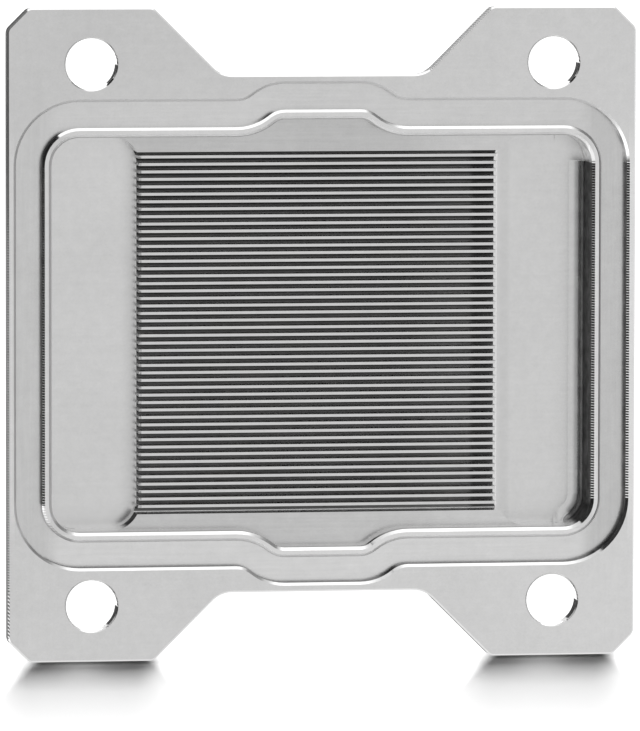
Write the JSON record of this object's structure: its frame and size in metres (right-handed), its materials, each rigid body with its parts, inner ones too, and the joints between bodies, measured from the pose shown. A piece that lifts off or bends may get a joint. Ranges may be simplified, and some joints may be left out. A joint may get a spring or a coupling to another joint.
{
  "type": "cpu water block cold plate",
  "caption": "Nickel-plated copper cold plate of a CPU water block, with sawn channels between header pockets, a gasket groove round them and notched ears with screw holes.",
  "frame": {"origin": "centre of the contact face that presses on the processor, which is the underside of the pedestal", "axes": "+X along the fins, +Y across them towards a notched side, +Z out of the finned side, away from the processor"},
  "size_m": [0.068, 0.07, 0.0075],
  "materials": {
    "nickel_plate": "satin nickel plating over machined copper"
  },
  "bodies": {
    "root": {"cold_plate": "nickel_plate"}
  },
  "joints": []
}
